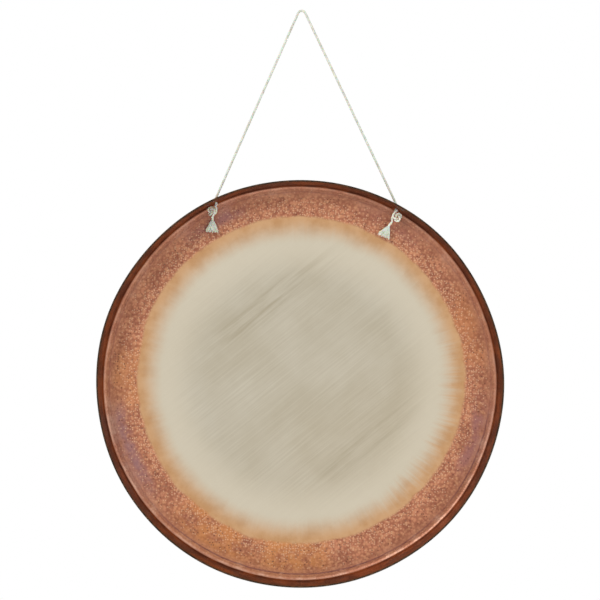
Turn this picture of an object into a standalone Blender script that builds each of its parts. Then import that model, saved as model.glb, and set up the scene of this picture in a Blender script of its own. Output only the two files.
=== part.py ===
"""A tam gong hanging from its cord, seen from the open side of its pan.

The gong is one sheet of bronze: a face that dishes away from the player's side, a rounded
corner and a rim that is turned up and flares a little. Two holes in the rim take the cord,
which runs over a hook and ends inside the pan in two stopper knots with unravelled ends.

World axes: +X to the right and +Z up, as seen by a viewer on the -Y side, who looks into
the pan. The origin is the point of the cord that bears on the hook. All sizes are in metres.

The gong hangs as gravity would leave it: its centre of mass is straight below the hook and
straight below the line through its two holes, about which it can tip.
"""

import math

import bmesh
import bpy
import numpy as np
from mathutils import Matrix, Vector

# The sheet, turned about the gong's axis. Diameters are over the metal.
LIP_DIAMETER = 0.610
CORNER_DIAMETER = 0.6060
RIM_DEPTH = 0.044
SHEET = 0.0020
LIP_SHEET = 0.0024
CORNER_RADIUS = 0.0062
FLAT_RING = 0.0110
DISH_DIAMETER = CORNER_DIAMETER - 2 * FLAT_RING
DISH_DEPTH = 0.009
TURN_STEPS = 120
DISH_RINGS = 8
CORNER_STEPS = 4
WALL_RINGS = 4

# Hammering leaves the lip and the corner a little out of round: (waves round the rim,
# height of each wave, where it peaks as degrees from +X towards +Z).
LIP_WAVES = ((2, 0.00019, 4), (4, 0.00026, -104), (6, 0.00030, -38), (7, 0.00022, 65), (9, 0.00022, 38))
CORNER_WAVES = ((3, 0.00021, -60), (5, 0.00037, -117), (7, 0.00027, 92), (8, 0.00018, 33), (9, 0.00020, -9))

# The two cord holes, and how the gong hangs by them.
HOLE_DIAMETER = 0.0060
HOLE_HALF_ANGLE = 27.1
HOLE_FROM_FACE = 0.0125
GONG_TURN = 1.7
HANG_DROP = 0.5644

# The cord, and the hook that it is hung on, which isn't part of the object.
CORD_DIAMETER = 0.0040
HOOK_DIAMETER = 0.0080
FIT_GAP = 0.0003
BEND_CLEARANCE = 0.0012

# A stopper knot is pulled tight, so the cord is thinner in it, and looser again in the tail.
KNOT_CORD_DIAMETER = 0.0034
KNOT_GAP = 0.00045
TAIL_DIAMETER = 0.0044
KNOT_SEAT_GAP = 0.0005
SHANK_PROUD = 0.0016

# Where each knot lies, as (right, down, out) from the hole, out being to the viewer: (name, side,
# the knot's middle, the way the cord runs through it, the way it faces, the tail's end and its way).
KNOTS = (
    ("left", -1, (-0.0046, 0.0160, 0.0015), (-0.10, 1.0, 0.0), (0.60, 0.0, -1.0),
     (-0.0026, 0.0300, -0.0035), (-0.02, 1.0, -0.10)),
    ("right", 1, (0.0006, 0.0152, 0.0035), (-0.45, 1.0, 0.10), (0.0, -0.15, 1.0),
     (-0.0120, 0.0300, -0.0035), (-0.45, 1.0, -0.15)),
)

# The unravelled end of a tail spreads into a flat brush.
BRUSH_LENGTH = 0.0185
BRUSH_WIDTH = 0.0205
BRUSH_THICKNESS = 0.0075
BRUSH_FLUTES = 9
BRUSH_FLUTE_DEPTH = 0.16


def clear_scene():
    for item in list(bpy.data.objects):
        bpy.data.objects.remove(item, do_unlink=True)


def principled(name, colour, roughness, metallic):
    material = bpy.data.materials.new(name)
    material.use_nodes = True
    shader = material.node_tree.nodes["Principled BSDF"]
    shader.inputs["Base Color"].default_value = (*colour, 1.0)
    shader.inputs["Roughness"].default_value = roughness
    shader.inputs["Metallic"].default_value = metallic
    return material


def add_object(name, data, material, parent=None):
    item = bpy.data.objects.new(name, data)
    bpy.context.scene.collection.objects.link(item)
    if material:
        item.data.materials.append(material)
    item.parent = parent
    return item


def corner_arc(before, corner, after, radius, steps):
    """Points of the fillet of this radius at the corner of two straight lines."""
    corner, before, after = Vector(corner), Vector(before), Vector(after)
    to_before, to_after = (before - corner).normalized(), (after - corner).normalized()
    half = to_before.angle(to_after) / 2
    centre = corner + (to_before + to_after).normalized() * radius / math.sin(half)
    start = corner + to_before * radius / math.tan(half) - centre
    turn = start.angle_signed(corner + to_after * radius / math.tan(half) - centre)
    points = []
    for step in range(steps + 1):
        angle = -turn * step / steps
        points.append(centre + Matrix.Rotation(angle, 2) @ start)
    return [tuple(point) for point in points]


def dish_line(lift, steps):
    """(radius, height) of a dished surface from the edge of the dish to the axis. Height is
    counted from the back of the flat ring round the dish, towards the viewer."""
    edge = DISH_DIAMETER / 2
    return [
        (edge * part, lift - DISH_DEPTH * (1 - part * part))
        for part in (1 - step / steps for step in range(steps + 1))
    ]


def sheet_profile():
    """The closed outline of the sheet's section, as (radius, height), anticlockwise."""
    corner, lip = CORNER_DIAMETER / 2, LIP_DIAMETER / 2
    rise = (lip - corner) / RIM_DEPTH
    crease = DISH_DIAMETER / 2
    edge = min(SHEET, LIP_SHEET) * 0.28

    back = dish_line(0.0, DISH_RINGS)[::-1]
    outer_corner = corner_arc((crease, 0), (corner, 0), (lip, RIM_DEPTH), CORNER_RADIUS + SHEET, CORNER_STEPS)
    outer_wall = [
        (corner + rise * height, height)
        for height in np.linspace(outer_corner[-1][1], RIM_DEPTH - edge, WALL_RINGS + 1)[1:]
    ]
    lip_edge = [(lip - edge, RIM_DEPTH), (lip - LIP_SHEET + edge, RIM_DEPTH)]
    inner_corner = corner_arc(
        (lip - LIP_SHEET, RIM_DEPTH), (corner - SHEET, SHEET), (crease, SHEET), CORNER_RADIUS, CORNER_STEPS
    )
    inner_wall = [
        (lip - LIP_SHEET + (inner_corner[0][0] - lip + LIP_SHEET) * part, RIM_DEPTH - edge + down)
        for part, down in (
            (step / WALL_RINGS, (inner_corner[0][1] - RIM_DEPTH + edge) * step / WALL_RINGS)
            for step in range(WALL_RINGS)
        )
    ]
    front = dish_line(SHEET, DISH_RINGS)
    return back + outer_corner + outer_wall + lip_edge + inner_wall + inner_corner + front


def mass_height(profile):
    """Height of the centre of mass of the body that the profile turns out."""
    volume = moment = 0.0
    for (r0, h0), (r1, h1) in zip(profile, profile[1:] + profile[:1]):
        cross = r0 * h1 - r1 * h0
        volume += (r0 + r1) * cross / 6
        moment += (2 * r0 * h0 + r0 * h1 + r1 * h0 + 2 * r1 * h1) * cross / 24
    return moment / volume


def waves(table, angle):
    return sum(height * math.cos(count * angle - math.radians(peak)) for count, height, peak in table)


def gong_mesh(profile):
    """The profile spun about the gong's axis, local Y, with the dish going back towards +Y."""
    mesh = bmesh.new()
    line = [mesh.verts.new((radius, -height, 0.0)) for radius, height in profile]
    edges = [mesh.edges.new(pair) for pair in zip(line, line[1:])]
    bmesh.ops.spin(
        mesh, geom=line + edges, cent=(0, 0, 0), axis=(0, 1, 0), angle=2 * math.pi,
        steps=TURN_STEPS, use_merge=True,
    )
    bmesh.ops.remove_doubles(mesh, verts=mesh.verts, dist=0.00001)
    fade_from = DISH_DIAMETER / 2
    for vert in mesh.verts:
        radius = math.hypot(vert.co.x, vert.co.z)
        if radius <= fade_from:
            continue
        angle = math.atan2(vert.co.z, vert.co.x)
        share = min(1.0, max(0.0, -vert.co.y / RIM_DEPTH))
        out = (1 - share) * waves(CORNER_WAVES, angle) + share * waves(LIP_WAVES, angle)
        out *= min(1.0, (radius - fade_from) / (CORNER_DIAMETER / 2 - CORNER_RADIUS - fade_from))
        vert.co.x *= 1 + out / radius
        vert.co.z *= 1 + out / radius
    bmesh.ops.recalc_face_normals(mesh, faces=mesh.faces)
    data = bpy.data.meshes.new("gong_disc")
    mesh.to_mesh(data)
    mesh.free()
    return data


def hole_direction(side):
    """Unit vector from the gong's axis to a hole, in the gong's frame. Side is -1 or 1."""
    angle = math.radians(HOLE_HALF_ANGLE)
    return Vector((side * math.sin(angle), 0.0, math.cos(angle)))


def wall_radius():
    """Radius of the middle of the sheet where the holes are."""
    slope = (LIP_DIAMETER - CORNER_DIAMETER) / 2 / RIM_DEPTH
    return CORNER_DIAMETER / 2 + slope * HOLE_FROM_FACE - SHEET / 2


def bend_radius():
    """Radius of the point outside each hole where the cord bends as the gong tips."""
    return wall_radius() + SHEET / 2 + BEND_CLEARANCE + CORD_DIAMETER / 4


def hole_cutter(name, side, gong):
    length = 12 * SHEET
    mesh = bmesh.new()
    bmesh.ops.create_cone(
        mesh, cap_ends=True, segments=20, radius1=HOLE_DIAMETER / 2, radius2=HOLE_DIAMETER / 2, depth=length
    )
    data = bpy.data.meshes.new(name)
    mesh.to_mesh(data)
    mesh.free()
    cutter = add_object(name, data, None, gong)
    cutter.location = hole_direction(side) * wall_radius() + Vector((0.0, -HOLE_FROM_FACE, 0.0))
    cutter.rotation_euler = hole_direction(side).to_track_quat("Z", "Y").to_euler()
    cutter.hide_render = True
    cutter.display_type = "WIRE"
    return cutter


def add_gong(gong, profile, material):
    disc = add_object("gong_disc", gong_mesh(profile), material, gong)
    disc.data.shade_smooth()
    disc.data.set_sharp_from_angle(angle=math.radians(50))
    for name, side in (("cut_hole_left", -1), ("cut_hole_right", 1)):
        cut = disc.modifiers.new(name, "BOOLEAN")
        cut.operation = "DIFFERENCE"
        cut.solver = "EXACT"
        cut.object = hole_cutter(name, side, gong)
    return disc


def hanging_frame(profile):
    """World matrix of the gong's frame, and the two points where the cord bends at the holes.

    The gong's frame has its origin on its axis at the back of the flat ring, local Y along
    the axis and local Z half-way between the holes.
    """
    reach = bend_radius()
    high = reach * math.cos(math.radians(HOLE_HALF_ANGLE))
    behind = HOLE_FROM_FACE - mass_height(profile)
    lean = math.atan2(behind, high)
    turn = math.radians(GONG_TURN)
    hinge = Vector((math.cos(turn), 0, -math.sin(turn)))
    upright = Vector((math.sin(turn), 0, math.cos(turn)))
    back = Vector((0, 1, 0))
    local_y = back * math.cos(lean) - upright * math.sin(lean)
    local_z = upright * math.cos(lean) + back * math.sin(lean)
    rotation = Matrix((hinge, local_y, local_z)).transposed()
    mass_centre = Vector((0, 0, -HANG_DROP))
    origin = mass_centre - rotation @ Vector((0, -mass_height(profile), 0))
    frame = Matrix.Translation(origin) @ rotation.to_4x4()
    bends = [
        frame @ (hole_direction(side) * reach + Vector((0, -HOLE_FROM_FACE, 0))) for side in (-1, 1)
    ]
    return frame, bends


def smooth_line(route, spacing):
    """Points about this far apart on a smooth curve through the route's own points."""
    points = [Vector(point) for point in route]
    points = [2 * points[0] - points[1]] + points + [2 * points[-1] - points[-2]]
    line = []
    for p0, p1, p2, p3 in zip(points, points[1:], points[2:], points[3:]):
        t1 = (p1 - p0).length ** 0.5
        t2 = t1 + (p2 - p1).length ** 0.5
        t3 = t2 + (p3 - p2).length ** 0.5
        count = max(1, round((p2 - p1).length / spacing))
        for step in range(count):
            t = t1 + (t2 - t1) * step / count
            a1 = p0 * ((t1 - t) / t1) + p1 * (t / t1)
            a2 = p1 * ((t2 - t) / (t2 - t1)) + p2 * ((t - t1) / (t2 - t1))
            a3 = p2 * ((t3 - t) / (t3 - t2)) + p3 * ((t - t2) / (t3 - t2))
            b1 = a1 * ((t2 - t) / t2) + a2 * (t / t2)
            b2 = a2 * ((t3 - t) / (t3 - t1)) + a3 * ((t - t1) / (t3 - t1))
            line.append(b1 * ((t2 - t) / (t2 - t1)) + b2 * ((t - t1) / (t2 - t1)))
    line.append(points[-2])
    return line


def tube(name, line, radii, material, parent=None):
    data = bpy.data.curves.new(name, "CURVE")
    data.dimensions = "3D"
    data.bevel_depth = CORD_DIAMETER / 2
    data.bevel_resolution = 2
    data.use_fill_caps = True
    data.twist_mode = "MINIMUM"
    spline = data.splines.new("POLY")
    spline.points.add(len(line) - 1)
    for point, place, radius in zip(spline.points, line, radii):
        point.co = (*place, 1.0)
        point.radius = radius / data.bevel_depth
    return add_object(name, data, material, parent)


def line_length(line):
    return sum((b - a).length for a, b in zip(line, line[1:]))


def free_cord_route(bends):
    """The cord's way from one hole over the hook to the other, as points of its middle line."""
    radius = (HOOK_DIAMETER + CORD_DIAMETER) / 2
    hook = Vector((0, 0, -HOOK_DIAMETER / 2))
    sides = []
    for bend, side in zip(bends, (-1, 1)):
        away = bend - hook
        angle = math.atan2(side * away.x, -away.z) + math.asin(radius / away.length)
        touch = hook + radius * Vector((side * math.cos(angle), 0, math.sin(angle)))
        leg = (bend - touch).normalized()
        end = bend - leg * (CORD_DIAMETER / 2 + FIT_GAP)
        middle = [touch.lerp(end, share) for share in (0.02, 0.25, 0.5, 0.75)]
        rise = math.pi / 2 - angle
        over = [
            hook + radius * Vector((side * math.cos(angle + rise * share), 0, math.sin(angle + rise * share)))
            for share in (0.0, 0.34, 0.67)
        ]
        sides.append([end] + middle[::-1] + over)
    top = hook + Vector((0, 0, radius))
    return sides[0] + [top] + sides[1][::-1]


def add_free_cord(bends, material):
    line = smooth_line(free_cord_route(bends), CORD_DIAMETER * 3)
    cord = tube("hanging_cord", line, [CORD_DIAMETER / 2] * len(line), material)
    print(f"cord between the holes: {line_length(line) * 1000:.0f} mm in {len(line)} points")
    return cord


def knot_line():
    """An overhand knot round its own middle: the three-lobed curve, opened at one lobe, with
    its ends crossing there and leaving along -Y and +Y. Every share is of the pitch, at which
    two strands of the tight cord just clear each other."""
    pitch = KNOT_CORD_DIAMETER + KNOT_GAP
    mean, swing, lift = 1.135 * pitch, 0.50 * pitch, 0.60 * pitch
    start = 0.45
    wide, high = 1.75 * pitch, 0.62 * pitch
    lobes = []
    for step in range(27):
        t = start + (2 * math.pi - 2 * start) * step / 26
        radius = mean + swing * math.cos(3 * t)
        lobes.append(Vector((radius * math.cos(2 * t), radius * math.sin(2 * t), lift * math.sin(3 * t))))
    enter = [
        Vector((wide * 0.70, -2.15 * pitch, high * 0.80)),
        Vector((wide, -1.05 * pitch, high)),
        Vector((wide * 1.03, 0.0, high * 1.02)),
        Vector((wide * 0.93, 0.72 * pitch, high * 0.92)),
    ]
    leave = [Vector((point.x, -point.y, -point.z)) for point in enter[::-1]]
    return smooth_line(enter + lobes + leave, KNOT_CORD_DIAMETER * 0.38)


def bridge(start, start_way, end, end_way, pull, count):
    """A smooth run from one point and direction to another, without its two ends."""
    reach = (end - start).length * pull
    p1, p2 = start + start_way * reach, end - end_way * reach
    points = []
    for step in range(1, count):
        t = step / count
        points.append(
            start * (1 - t) ** 3 + p1 * 3 * t * (1 - t) ** 2 + p2 * 3 * t * t * (1 - t) + end * t ** 3
        )
    return points


def least_gap(line, radii):
    """Least gap of a tube to itself, leaving out what is within two and a half diameters along it."""
    along = [0.0]
    for a, b in zip(line, line[1:]):
        along.append(along[-1] + (b - a).length)
    gaps = []
    for i, first in enumerate(line):
        for j in range(i + 1, len(line)):
            if along[j] - along[i] > 5 * radii[i]:
                gaps.append((first - line[j]).length - radii[i] - radii[j])
    return min(gaps)


def from_hole(side, right, down, out):
    """Gong-frame point at these distances from a hole's bend point, out being to the viewer."""
    place = hole_direction(side) * bend_radius()
    return place + Vector((right, -HOLE_FROM_FACE - out, -down))


def wall_gap(line, radii):
    """Least gap between a tube inside the pan and the rim's inner side, in the gong's frame."""
    slope = (LIP_DIAMETER - CORNER_DIAMETER) / 2 / RIM_DEPTH
    gaps = []
    for point, radius in zip(line, radii):
        inner = CORNER_DIAMETER / 2 - slope * point.y - SHEET
        gaps.append((inner - math.hypot(point.x, point.z)) * math.cos(math.atan(slope)) - radius)
    return min(gaps)


def hanging_way(right, down, out):
    """Unit vector of the gong's frame with these parts."""
    return Vector((right, -out, -down)).normalized()


def add_knot(name, side, place, run, face, tail_end, tail_way, material, gong):
    """Ties one end: through the hole, round the knot, which bears on the rim, and down the tail."""
    run, face = hanging_way(*run), hanging_way(*face)
    face = (face - run * face.dot(run)).normalized()
    spin = Matrix((run.cross(face), run, face)).transposed()
    outward = hole_direction(side)
    middle = from_hole(side, *place)
    tight, tip, loose = KNOT_CORD_DIAMETER / 2, CORD_DIAMETER / 2, TAIL_DIAMETER / 2
    knot = [middle + spin @ point for point in knot_line()]
    push = wall_gap(knot, [tight] * len(knot)) - KNOT_SEAT_GAP
    knot = [point + outward * push for point in knot]

    bend = from_hole(side, 0, 0, 0)
    through = SHEET + BEND_CLEARANCE + CORD_DIAMETER / 4 + SHANK_PROUD
    cap = [(math.cos(math.radians(a)), math.sin(math.radians(a))) for a in (80, 55, 28)]
    nose = [bend + outward * tip * rise for share, rise in cap]
    shank = [bend - outward * through * share for share in (0.0, 0.5, 1.0)]
    into, leaving = (knot[1] - knot[0]).normalized(), (knot[-1] - knot[-2]).normalized()
    lead = bridge(shank[-1], -outward, knot[0], into, 0.36, 6)
    end = from_hole(side, *tail_end)
    way = hanging_way(*tail_way)
    before_end = end - way * TAIL_DIAMETER * 0.4
    tail = bridge(knot[-1], leaving, before_end, way, 0.36, 6) + [before_end, end]
    line = nose + shank + lead + knot + tail

    radii = [tip * share for share, rise in cap] + [tip] * len(shank)
    radii += [tip + (tight - tip) * (step + 1) / len(lead) for step in range(len(lead))]
    radii += [tight] * len(knot)
    radii += [tight + (loose - tight) * (step + 1) / len(tail) for step in range(len(tail))]
    print(
        f"{name}: {line_length(line) * 1000:.0f} mm of cord, least gap to itself "
        f"{least_gap(line[len(nose):], radii[len(nose):]) * 1000:.2f} mm, to the rim "
        f"{wall_gap(knot, [tight] * len(knot)) * 1000:.2f} mm, to the face "
        f"{min(-point.y - radius - SHEET for point, radius in zip(line, radii)) * 1000:.2f} mm"
    )
    return tube(name, line, radii, material, gong), end, way


def brush_mesh(name):
    """The unravelled end: from the tail's round section it spreads along +Z into a flat brush,
    with a flute between its strands and a ragged tip."""
    rings, around = 9, 4 * BRUSH_FLUTES
    mesh = bmesh.new()
    loops = []
    for ring in range(rings + 1):
        share = ring / rings
        spread = share ** 1.35 * (3 - 2 * share ** 1.35) ** 0.35
        wide = TAIL_DIAMETER / 2 + (BRUSH_WIDTH / 2 - TAIL_DIAMETER / 2) * min(1.0, spread)
        thick = TAIL_DIAMETER / 2 + (BRUSH_THICKNESS / 2 - TAIL_DIAMETER / 2) * min(1.0, 1.25 * share)
        loop = []
        for step in range(around):
            angle = 2 * math.pi * step / around
            flute = 1 - BRUSH_FLUTE_DEPTH * share * (0.5 - 0.5 * math.cos(BRUSH_FLUTES * angle))
            ragged = 1 + 0.09 * share * math.cos(BRUSH_FLUTES * angle) - 0.10 * share * math.cos(angle) ** 2
            loop.append(
                mesh.verts.new((
                    wide * flute * math.cos(angle),
                    thick * flute * math.sin(angle),
                    BRUSH_LENGTH * share * ragged,
                ))
            )
        loops.append(loop)
    for lower, upper in zip(loops, loops[1:]):
        for step in range(around):
            after = (step + 1) % around
            mesh.faces.new((lower[step], lower[after], upper[after], upper[step]))
    for loop, height in ((loops[0], 0.0), (loops[-1], BRUSH_LENGTH * 0.86)):
        hub = mesh.verts.new((0, 0, height))
        for step in range(around):
            mesh.faces.new((loop[step], hub, loop[(step + 1) % around]))
    bmesh.ops.recalc_face_normals(mesh, faces=mesh.faces)
    data = bpy.data.meshes.new(name)
    mesh.to_mesh(data)
    mesh.free()
    data.shade_smooth()
    return data


def add_brush(name, tail_end, way, face_on, material, gong):
    """Seats a brush on the end of a tail. Its flat side turns to the direction face_on."""
    brush = add_object(name, brush_mesh(name), material, gong)
    flat = Vector(face_on)
    flat = (flat - way * flat.dot(way)).normalized()
    rotation = Matrix((flat.cross(way), flat, way)).transposed().to_4x4()
    brush.matrix_local = Matrix.Translation(tail_end + way * FIT_GAP) @ rotation
    return brush


def main():
    clear_scene()
    bronze = principled("bronze", (0.60, 0.36, 0.22), 0.34, 1.0)
    cotton = principled("cotton", (0.66, 0.65, 0.58), 0.9, 0.0)
    knotted = principled("knotted cotton", (0.78, 0.76, 0.67), 0.9, 0.0)
    brushed = principled("unravelled cotton", (0.80, 0.77, 0.68), 0.95, 0.0)

    profile = sheet_profile()
    frame, bends = hanging_frame(profile)
    hinge = bpy.data.objects.new("disc_tilt_axis", None)
    bpy.context.scene.collection.objects.link(hinge)
    middle = (bends[0] + bends[1]) / 2
    hinge.matrix_world = Matrix.Translation(middle) @ frame.to_3x3().to_4x4()
    gong = bpy.data.objects.new("gong_frame", None)
    bpy.context.scene.collection.objects.link(gong)
    gong.parent = hinge
    gong.matrix_local = Matrix.Translation(hinge.matrix_world.to_3x3().inverted() @ (frame.translation - middle))

    add_gong(gong, profile, bronze)
    add_free_cord(bends, cotton)

    for name, side, *ways in KNOTS:
        knot, end, way = add_knot(f"stopper_knot_{name}", side, *ways, knotted, gong)
        add_brush(f"frayed_end_{name}", end, way, (0, -1, 0), brushed, gong)

    bpy.context.view_layer.update()
    print(f"lean {math.degrees(math.atan2(frame[1][2], frame[1][1])):.2f} degrees")
    print("hinge at", [round(value, 5) for value in middle], "along", [round(value, 5) for value in frame.col[0][:3]])
    print("bends", [[round(value, 5) for value in bend] for bend in bends])


if __name__ == "__main__":
    main()
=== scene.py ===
import math
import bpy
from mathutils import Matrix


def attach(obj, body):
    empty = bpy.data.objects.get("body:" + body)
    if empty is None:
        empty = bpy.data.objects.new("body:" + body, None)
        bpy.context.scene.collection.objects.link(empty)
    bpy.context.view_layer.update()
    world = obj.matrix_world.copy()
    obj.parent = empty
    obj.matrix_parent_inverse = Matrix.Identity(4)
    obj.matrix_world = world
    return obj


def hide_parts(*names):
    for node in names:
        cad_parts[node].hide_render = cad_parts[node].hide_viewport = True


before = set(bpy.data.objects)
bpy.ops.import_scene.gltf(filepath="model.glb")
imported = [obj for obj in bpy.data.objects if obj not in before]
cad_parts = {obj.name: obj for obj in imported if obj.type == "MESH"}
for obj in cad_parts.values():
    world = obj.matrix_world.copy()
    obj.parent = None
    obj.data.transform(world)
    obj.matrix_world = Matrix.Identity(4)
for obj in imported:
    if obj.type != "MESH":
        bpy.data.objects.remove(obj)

from types import SimpleNamespace

import bmesh
import bpy
import numpy as np
from mathutils import Matrix, Vector

bl_info = {
    "name": "Tam gong",
    "version": (1, 0, 0),
    "blender": (4, 5, 0),
    "location": "View3D > Sidebar > Tam gong",
    "description": "A tam gong on its cord, with a hammered rim, stopper knots and frayed ends",
    "category": "Add Mesh",
}

# The sheet, turned about the gong's axis. Lengths are in metres and angles in degrees.
LIP_DIAMETER = 0.610
CORNER_DIAMETER = 0.6060
RIM_DEPTH = 0.044
SHEET = 0.0020
LIP_SHEET = 0.0024
LIP_EDGE = 0.0007
CORNER_RADIUS = 0.0062
FLAT_RING = 0.0110
DISH_DIAMETER = CORNER_DIAMETER - 2 * FLAT_RING
DISH_DEPTH = 0.009
MASS_RISE = 0.0031615

# How far the lip and the corner are out of round: waves in a turn, height, and the angle of a peak.
LIP_WAVES = ((2, 0.00019, 4), (4, 0.00026, -104), (6, 0.00030, -38), (7, 0.00022, 65), (9, 0.00022, 38))
CORNER_WAVES = ((3, 0.00021, -60), (5, 0.00037, -117), (7, 0.00027, 92), (8, 0.00018, 33), (9, 0.00020, -9))

# How many rings of points each run of the section has, and the least radius of a ring.
BACK_RINGS = 14
OUTER_CORNER_STEPS = 7
OUTER_WALL_RINGS = 9
LIP_EDGE_ANGLES = (30, 60, 90)
INNER_WALL_RINGS = 12
INNER_CORNER_STEPS = 9
HAMMERED_RINGS = 50
CENTRE_RINGS = 22
CLOSE_RINGS_FROM = 0.238
ON_AXIS = 1e-6

# Where the front is hammered, by radius, and how little it is elsewhere.
HAMMER_FROM = 0.243
HAMMER_FADE_IN = 0.010
HAMMER_TO = 0.2985
HAMMER_FADE_OUT = 0.004
HAMMER_LEAST = 0.05
HAMMER_MARGIN = 0.003

# The cord holes, and how the gong hangs by them.
HOLE_DIAMETER = 0.0060
HOLE_HALF_ANGLE = 27.1
HOLE_FROM_FACE = 0.0125
BORE_LENGTH = 0.024
BORE_SIDES = 32
GONG_TURN = 1.7
HANG_DROP = 0.5644

# The cord, and the hook it is hung on.
CORD_DIAMETER = 0.0040
HOOK_DIAMETER = 0.0080
FIT_GAP = 0.0003
BEND_CLEARANCE = 0.0012
STEPS_IN_LAY = 16.0
STRAND_SIDES = 8
STRAND_OFFSET = 0.38
STRAND_SIZE = 0.56

# The knots and the tails below them.
KNOT_CORD_DIAMETER = 0.0034
KNOT_GAP = 0.00045
KNOT_SEAT_GAP = 0.0005
TAIL_DIAMETER = 0.0044
SHANK_PROUD = 0.0016
SHANK_TIP = 0.9
LOBE_STEPS = 26
BRIDGE_PULL = 0.36
BRIDGE_STEPS = 6

# Each end of the cord: its name, its side, the knot's place, run and face, and the tail's end and
# direction, all as distances to the right, down and towards the viewer.
KNOTS = (
    ("left", -1, (-0.0046, 0.0160, 0.0015), (-0.10, 1.0, 0.0), (0.60, 0.0, -1.0),
     (-0.0026, 0.0300, -0.0035), (-0.02, 1.0, -0.10)),
    ("right", 1, (0.0006, 0.0152, 0.0035), (-0.45, 1.0, 0.10), (0.0, -0.15, 1.0),
     (-0.0120, 0.0300, -0.0035), (-0.45, 1.0, -0.15)),
)

# The frayed ends.
BRUSH_LENGTH = 0.0185
BRUSH_WIDTH = 0.0205
BRUSH_THICKNESS = 0.0075
BRUSH_RAGGED = 0.22
BRUSH_SEED = 5

# Radii where one finish of the front gives way to the next, as (starts, ends).
PALE_FADE = (0.150, 0.212)
BAND_FADE = (0.212, 0.250)
RING_FADE = (0.2500, 0.2560)
DULL_FADE = (0.245, 0.256)
DENT_FADE = (0.243, 0.256)
TINT_FADE = (0.262, 0.276)
CROWD_FADE = (0.286, 0.256)
PLAIN_FADE = (0.2800, 0.2900)
MOTTLE_FADE = (0.2870, 0.2910)
# Radius of the dark line painted as the shade of a slight groove.
GROOVE_SHADE_RADIUS = 0.2912

# Heights over the back where the wall, dark from its unpolished bronze and from painted shade, the painted
# highlight along its corner and the lip take over, as (starts, ends).
SHADED_WALL_FADE = (0.0022, 0.0044)
HIGHLIGHT_FADE_IN = (0.0018, 0.0028)
HIGHLIGHT_FADE_OUT = (0.0046, 0.0032)
LIP_FADE = (0.0405, 0.0432)

# Tints of the hammered ring: the angle, how far each way it is full and gone, the colour, the
# strength, and whether it keeps to the ring's outer part.
RING_TINTS = (
    (120, 3, 13, (156, 106, 104), 0.75, True),
    (203, 6, 20, (150, 112, 116), 0.75, True),
    (345, 4, 16, (158, 106, 102), 0.8, True),
    (62, 4, 14, (150, 96, 88), 0.5, True),
    (180, 4, 14, (206, 138, 82), 0.4, False),
    (243, 6, 18, (206, 134, 72), 0.6, False),
    (270, 4, 14, (212, 140, 74), 0.6, False),
    (20, 4, 16, (196, 124, 70), 0.4, False),
)

# Dark scrapes on the centre: place along and across them, half length, half breadth and strength.
SCRAPE_ANGLE = -40.5
SCRAPES = ((0.075, 0.125, 0.17, 0.026, 0.50), (0.03, -0.135, 0.12, 0.022, 0.40))

# The camera, and the studio's lamps: name, place, diameter and power in watts.
CAMERA_PLACE = (-0.000593, -2.044948, -0.439236)
CAMERA_ROLL = 0.27
CAMERA_LENS = 80.43
SENSOR_WIDTH = 36.0
LAMP_AIM = (0.0, 0.0, -0.52)
LAMPS = (
    ("key_light", (-1.5, -1.9, 1.1), 0.9, 34),
    ("fill_light", (1.9, -2.2, -0.2), 1.8, 12),
    ("low_light", (0.2, -1.9, -2.2), 1.2, 8),
)
ROOM_COLOUR = (0.95, 0.97, 1.0, 1.0)
ROOM_STRENGTH = 0.72
WHITE = (1.0, 1.0, 1.0, 1.0)

# Distance between the nodes of a tree, across and down.
NODE_SPACING = (190, 160)


def linear(red, green, blue):
    """A colour from its 0 to 255 screen values, as a material needs it."""
    return tuple((value / 255) ** 2.2 for value in (red, green, blue)) + (1.0,)


def length_setting(label, description, default):
    """A length that the sidebar shows in the scene's units."""
    return bpy.props.FloatProperty(
        name=label, description=description, default=default, subtype="DISTANCE", unit="LENGTH"
    )


def colour_setting(label, description, *screen_values):
    """A colour that the sidebar shows as a swatch."""
    return bpy.props.FloatVectorProperty(
        name=label, description=description, default=linear(*screen_values), size=4, min=0.0, max=1.0,
        subtype="COLOR",
    )


class TamGongSettings(bpy.types.PropertyGroup):
    """Sizes and colours of the gong's sheet and of its cord."""

    turn_steps: bpy.props.IntProperty(
        name="Steps round", description="Faces round the sheet", default=720, min=120, max=800
    )
    hammer_depth: length_setting("Hammer depth", "Depth of the hammer marks", 0.00036)
    hammer_cell: length_setting("Hammer pitch", "Distance between hammer marks", 0.0042)
    ripple: length_setting("Ripple", "Height of the slow unevenness of the sheet", 0.00025)
    strands: bpy.props.IntProperty(
        name="Strands", description="Strands laid up in the cord", default=3, min=2, max=6
    )
    lay_length: length_setting("Lay", "Length of one turn of the cord's strands", 0.0125)
    threads: bpy.props.IntProperty(
        name="Threads", description="Threads in a frayed end", default=230, min=10, max=400
    )
    thread_diameter: length_setting("Thread", "Thickness of a loose thread", 0.00062)
    centre_colour: colour_setting("Centre", "Plain, scraped centre of the front", 199, 189, 168)
    band_colour: colour_setting("Band", "Warm band round the centre", 209, 163, 118)
    ring_colour: colour_setting("Ring", "Lighter part of the hammered ring", 202, 132, 98)
    # The wall's colour holds painted shade as well as the darkness of its unpolished bronze.
    wall_colour: colour_setting("Wall", "Lighter part of the rim's wall", 140, 72, 30)
    cord_colour: colour_setting("Cord", "Light side of the hanging cord", 226, 224, 208)
    knot_colour: colour_setting("Knots", "Light side of the knots", 250, 245, 228)
    frayed_colour: colour_setting("Frayed ends", "Light side of the loose threads", 250, 245, 226)


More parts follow.
